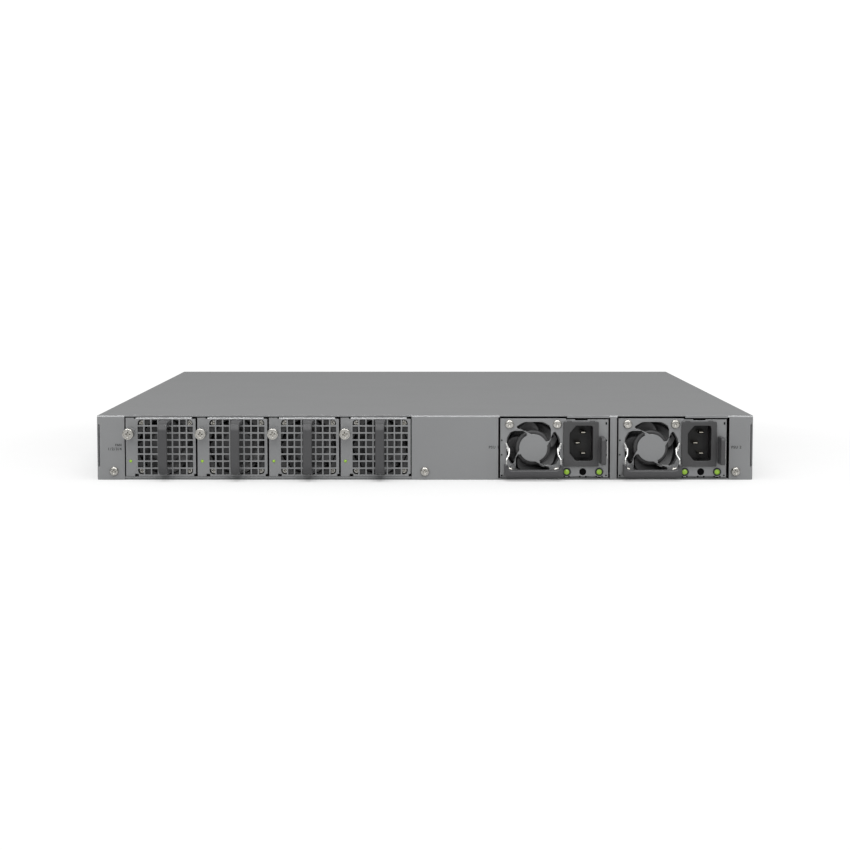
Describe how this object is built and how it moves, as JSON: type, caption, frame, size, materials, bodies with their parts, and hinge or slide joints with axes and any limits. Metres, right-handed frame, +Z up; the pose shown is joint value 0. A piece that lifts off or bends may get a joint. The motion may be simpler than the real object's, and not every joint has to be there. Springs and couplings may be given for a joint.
{
  "type": "rackmount network switch",
  "caption": "Rackmount network switch, one unit high, with slide-out fan modules and power supplies at the rear and pluggable network ports at the front.",
  "frame": {"origin": "centre of the chassis underside", "axes": "+Z up, -Y out of the rear side with the fan modules and power supplies, +Y out of the port side, +X to the right of a person who looks at the rear"},
  "size_m": [0.4424, 0.5176, 0.0437],
  "materials": {
    "painted_steel": "fine satin powder coat, mid grey",
    "bare_steel": "bright rolled",
    "nickel_plate": "satin nickel plate",
    "dark_plastic": "moulded, fine texture",
    "black_plastic": "moulded, semi-matt",
    "light_pipe": "clear green, lit",
    "circuit_board": "solder mask",
    "aluminium": "extruded, bare"
  },
  "bodies": {
    "chassis": {"base_tray": "painted_steel", "top_cover": "painted_steel", "rear_panel": "painted_steel", "rear_corner_right": "painted_steel", "psu_bay_divider": "painted_steel", "rear_screw_left": "nickel_plate", "rear_screw_centre": "nickel_plate", "rear_screw_right": "nickel_plate", "port_panel": "painted_steel", "sfp_cages_left": "bare_steel", "sfp_cages_right": "bare_steel", "qsfp_cages": "bare_steel", "management_jacks": "black_plastic", "main_board": "circuit_board", "switch_heat_sink": "aluminium", "fan_backplane": "circuit_board"},
    "fan_module_1": {"fan_1_plate": "painted_steel", "fan_1_frame": "black_plastic", "fan_1_handle": "dark_plastic", "fan_1_light_pipe": "light_pipe"},
    "fan_rotor_1": {"fan_1_rotor": "dark_plastic"},
    "fan_screw_1": {"fan_1_thumb_screw": "nickel_plate"},
    "fan_module_2": {"fan_2_plate": "painted_steel", "fan_2_frame": "black_plastic", "fan_2_handle": "dark_plastic", "fan_2_light_pipe": "light_pipe"},
    "fan_rotor_2": {"fan_2_rotor": "dark_plastic"},
    "fan_screw_2": {"fan_2_thumb_screw": "nickel_plate"},
    "fan_module_3": {"fan_3_plate": "painted_steel", "fan_3_frame": "black_plastic", "fan_3_handle": "dark_plastic", "fan_3_light_pipe": "light_pipe"},
    "fan_rotor_3": {"fan_3_rotor": "dark_plastic"},
    "fan_screw_3": {"fan_3_thumb_screw": "nickel_plate"},
    "fan_module_4": {"fan_4_plate": "painted_steel", "fan_4_frame": "black_plastic", "fan_4_handle": "dark_plastic", "fan_4_light_pipe": "light_pipe"},
    "fan_rotor_4": {"fan_4_rotor": "dark_plastic"},
    "fan_screw_4": {"fan_4_thumb_screw": "nickel_plate"},
    "psu_1": {"psu_1_case": "bare_steel", "psu_1_plate": "painted_steel", "psu_1_fan_frame": "black_plastic", "psu_1_inlet": "dark_plastic", "psu_1_line_pin": "nickel_plate", "psu_1_neutral_pin": "nickel_plate", "psu_1_earth_pin": "nickel_plate"},
    "psu_rotor_1": {"psu_1_fan_rotor": "dark_plastic"},
    "psu_bail_1": {"psu_1_bail_handle": "dark_plastic"},
    "psu_latch_1": {"psu_1_release_latch": "dark_plastic"},
    "psu_2": {"psu_2_case": "bare_steel", "psu_2_plate": "painted_steel", "psu_2_fan_frame": "black_plastic", "psu_2_inlet": "dark_plastic", "psu_2_line_pin": "nickel_plate", "psu_2_neutral_pin": "nickel_plate", "psu_2_earth_pin": "nickel_plate"},
    "psu_rotor_2": {"psu_2_fan_rotor": "dark_plastic"},
    "psu_bail_2": {"psu_2_bail_handle": "dark_plastic"},
    "psu_latch_2": {"psu_2_release_latch": "dark_plastic"}
  },
  "joints": [
    {"name": "fan_module_1_slide", "type": "slide", "parent": "chassis", "child": "fan_module_1", "axis": [0, -1, 0], "range_m": [0, 0.06]},
    {"name": "fan_1_spin", "type": "hinge", "parent": "fan_module_1", "child": "fan_rotor_1", "pos_m": [-0.1753, -0.22, 0.0222], "axis": [0, 1, 0], "continuous": true},
    {"name": "fan_1_screw_turn", "type": "hinge", "parent": "fan_module_1", "child": "fan_screw_1", "pos_m": [-0.19865, -0.25, 0.0321], "axis": [0, -1, 0], "continuous": true},
    {"name": "fan_module_2_slide", "type": "slide", "parent": "chassis", "child": "fan_module_2", "axis": [0, -1, 0], "range_m": [0, 0.06]},
    {"name": "fan_2_spin", "type": "hinge", "parent": "fan_module_2", "child": "fan_rotor_2", "pos_m": [-0.12695, -0.22, 0.0222], "axis": [0, 1, 0], "continuous": true},
    {"name": "fan_2_screw_turn", "type": "hinge", "parent": "fan_module_2", "child": "fan_screw_2", "pos_m": [-0.1503, -0.25, 0.0321], "axis": [0, -1, 0], "continuous": true},
    {"name": "fan_module_3_slide", "type": "slide", "parent": "chassis", "child": "fan_module_3", "axis": [0, -1, 0], "range_m": [0, 0.06]},
    {"name": "fan_3_spin", "type": "hinge", "parent": "fan_module_3", "child": "fan_rotor_3", "pos_m": [-0.0786, -0.22, 0.0222], "axis": [0, 1, 0], "continuous": true},
    {"name": "fan_3_screw_turn", "type": "hinge", "parent": "fan_module_3", "child": "fan_screw_3", "pos_m": [-0.10195, -0.25, 0.0321], "axis": [0, -1, 0], "continuous": true},
    {"name": "fan_module_4_slide", "type": "slide", "parent": "chassis", "child": "fan_module_4", "axis": [0, -1, 0], "range_m": [0, 0.06]},
    {"name": "fan_4_spin", "type": "hinge", "parent": "fan_module_4", "child": "fan_rotor_4", "pos_m": [-0.03025, -0.22, 0.0222], "axis": [0, 1, 0], "continuous": true},
    {"name": "fan_4_screw_turn", "type": "hinge", "parent": "fan_module_4", "child": "fan_screw_4", "pos_m": [-0.0536, -0.25, 0.0321], "axis": [0, -1, 0], "continuous": true},
    {"name": "psu_1_slide", "type": "slide", "parent": "chassis", "child": "psu_1", "axis": [0, -1, 0], "range_m": [0, 0.19]},
    {"name": "psu_1_fan_spin", "type": "hinge", "parent": "psu_1", "child": "psu_rotor_1", "pos_m": [0.0731, -0.235, 0.0216], "axis": [0, 1, 0], "continuous": true},
    {"name": "psu_1_bail_swing", "type": "hinge", "parent": "psu_1", "child": "psu_bail_1", "pos_m": [0.0731, -0.2526, 0.0216], "axis": [-1, 0, 0], "range_deg": [0, 90]},
    {"name": "psu_1_latch_press", "type": "hinge", "parent": "psu_1", "child": "psu_latch_1", "pos_m": [0.1193, -0.2503, 0.0211], "axis": [0, 0, -1], "range_deg": [0, 6], "stiffness_Nm_per_rad": 1},
    {"name": "psu_2_slide", "type": "slide", "parent": "chassis", "child": "psu_2", "axis": [0, -1, 0], "range_m": [0, 0.19]},
    {"name": "psu_2_fan_spin", "type": "hinge", "parent": "psu_2", "child": "psu_rotor_2", "pos_m": [0.1528, -0.235, 0.0216], "axis": [0, 1, 0], "continuous": true},
    {"name": "psu_2_bail_swing", "type": "hinge", "parent": "psu_2", "child": "psu_bail_2", "pos_m": [0.1528, -0.2526, 0.0216], "axis": [-1, 0, 0], "range_deg": [0, 90]},
    {"name": "psu_2_latch_press", "type": "hinge", "parent": "psu_2", "child": "psu_latch_2", "pos_m": [0.199, -0.2503, 0.0211], "axis": [0, 0, -1], "range_deg": [0, 6], "stiffness_Nm_per_rad": 1}
  ]
}
